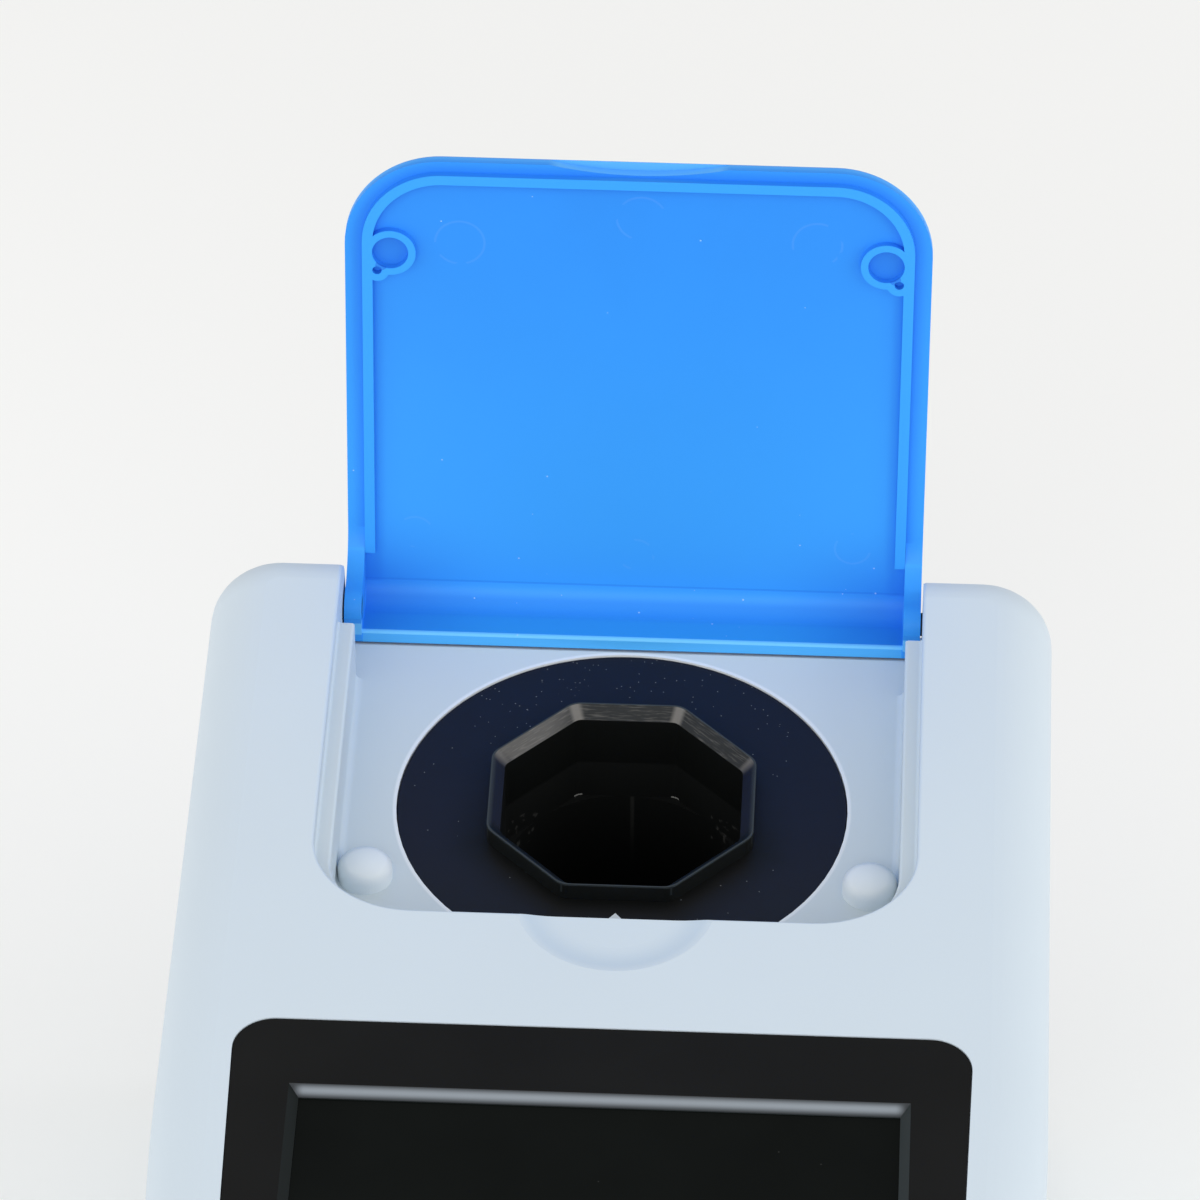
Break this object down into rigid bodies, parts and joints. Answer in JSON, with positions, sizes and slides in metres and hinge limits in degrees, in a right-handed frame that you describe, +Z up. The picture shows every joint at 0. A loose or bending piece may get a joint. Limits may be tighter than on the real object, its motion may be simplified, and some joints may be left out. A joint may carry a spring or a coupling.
{
  "type": "portable turbidity meter",
  "caption": "handheld turbidity meter with a hinged blue sample lid, an octagonal vial well, a dark display panel, push keys and a battery door",
  "frame": {"origin": "centre of the bounding box in X and Y at the height of the rubber feet's undersides", "axes": "+Z up, +Y from the display end to the sample well at the rear, +X to the right as the keys are read"},
  "size_m": [0.09, 0.2038, 0.127],
  "materials": {
    "case_plastic": "satin moulded, pale blue grey",
    "lid_plastic": "clear blue, semi-gloss",
    "black_plastic": "fine matt black",
    "panel_plastic": "smooth black",
    "window_pane": "polished, near black",
    "lcd": "smooth dark glass",
    "white_plastic": "matt white",
    "white_print": "matt pale fill",
    "pale_rubber": "soft matt, pale blue grey",
    "black_rubber": "matt",
    "mat_rubber": "soft matt grey",
    "holder_plastic": "deep matt black",
    "key_plastic": "satin blue",
    "lamp_lens": "clear",
    "sensor_metal": "bright",
    "board": "green laminate",
    "chip_plastic": "matt black",
    "contact_metal": "nickel plated",
    "pin_steel": "dark steel",
    "screw_steel": "zinc plated",
    "cell_sleeve": "wrapped, satin dark grey"
  },
  "bodies": {
    "case": {"upper_case": "case_plastic", "lower_case": "case_plastic", "case_seal": "black_rubber", "hinge_pins": "pin_steel", "well_flange": "black_plastic", "index_mark": "white_print", "bumper_left": "pale_rubber", "bumper_right": "pale_rubber", "flange_gasket": "black_rubber", "cell_holder": "holder_plastic", "holder_screws": "screw_steel", "source_led": "lamp_lens", "source_lens": "lamp_lens", "transmission_detector": "sensor_metal", "scatter_detector": "sensor_metal", "source_board": "board", "transmission_board": "board", "scatter_board": "board", "display_panel": "panel_plastic", "display_window": "window_pane", "display_gasket": "black_rubber", "lcd_glass": "lcd", "lcd_backlight": "white_plastic", "display_header": "black_plastic", "main_board": "board", "board_chips": "chip_plastic", "board_screws": "screw_steel", "key_board": "board", "key_domes": "sensor_metal", "keypad_mat": "mat_rubber", "battery_1": "cell_sleeve", "battery_2": "cell_sleeve", "battery_3": "cell_sleeve", "battery_contacts": "contact_metal", "rubber_feet": "black_rubber", "case_screws": "screw_steel"},
    "lid": {"lid": "lid_plastic"},
    "key_power": {"key_power": "key_plastic"},
    "key_up": {"key_up": "key_plastic"},
    "key_read": {"key_read": "key_plastic"},
    "key_cal": {"key_cal": "key_plastic"},
    "key_down": {"key_down": "key_plastic"},
    "key_mode": {"key_mode": "key_plastic"},
    "battery_door": {"battery_door": "case_plastic"}
  },
  "joints": [
    {"name": "lid_hinge", "type": "hinge", "parent": "case", "child": "lid", "pos_m": [0, 0.08875, 0.07362], "axis": [1, 0, 0], "range_deg": [0, 97.5]},
    {"name": "key_power_press", "type": "slide", "parent": "case", "child": "key_power", "axis": [0, 0.1564, -0.9877], "range_m": [0, 0.0008], "stiffness_N_per_m": 1200, "springref_m": -0.0004},
    {"name": "key_up_press", "type": "slide", "parent": "case", "child": "key_up", "axis": [0, 0.1564, -0.9877], "range_m": [0, 0.0008], "stiffness_N_per_m": 1200, "springref_m": -0.0004},
    {"name": "key_read_press", "type": "slide", "parent": "case", "child": "key_read", "axis": [0, 0.1564, -0.9877], "range_m": [0, 0.0008], "stiffness_N_per_m": 1200, "springref_m": -0.0004},
    {"name": "key_cal_press", "type": "slide", "parent": "case", "child": "key_cal", "axis": [0, 0.1564, -0.9877], "range_m": [0, 0.0008], "stiffness_N_per_m": 1200, "springref_m": -0.0004},
    {"name": "key_down_press", "type": "slide", "parent": "case", "child": "key_down", "axis": [0, 0.1564, -0.9877], "range_m": [0, 0.0008], "stiffness_N_per_m": 1200, "springref_m": -0.0004},
    {"name": "key_mode_press", "type": "slide", "parent": "case", "child": "key_mode", "axis": [0, 0.1564, -0.9877], "range_m": [0, 0.0008], "stiffness_N_per_m": 1200, "springref_m": -0.0004},
    {"name": "battery_door_hinge", "type": "hinge", "parent": "case", "child": "battery_door", "pos_m": [0, -0.05613, 0.00265], "axis": [-1, 0, 0], "range_deg": [0, 80]}
  ]
}
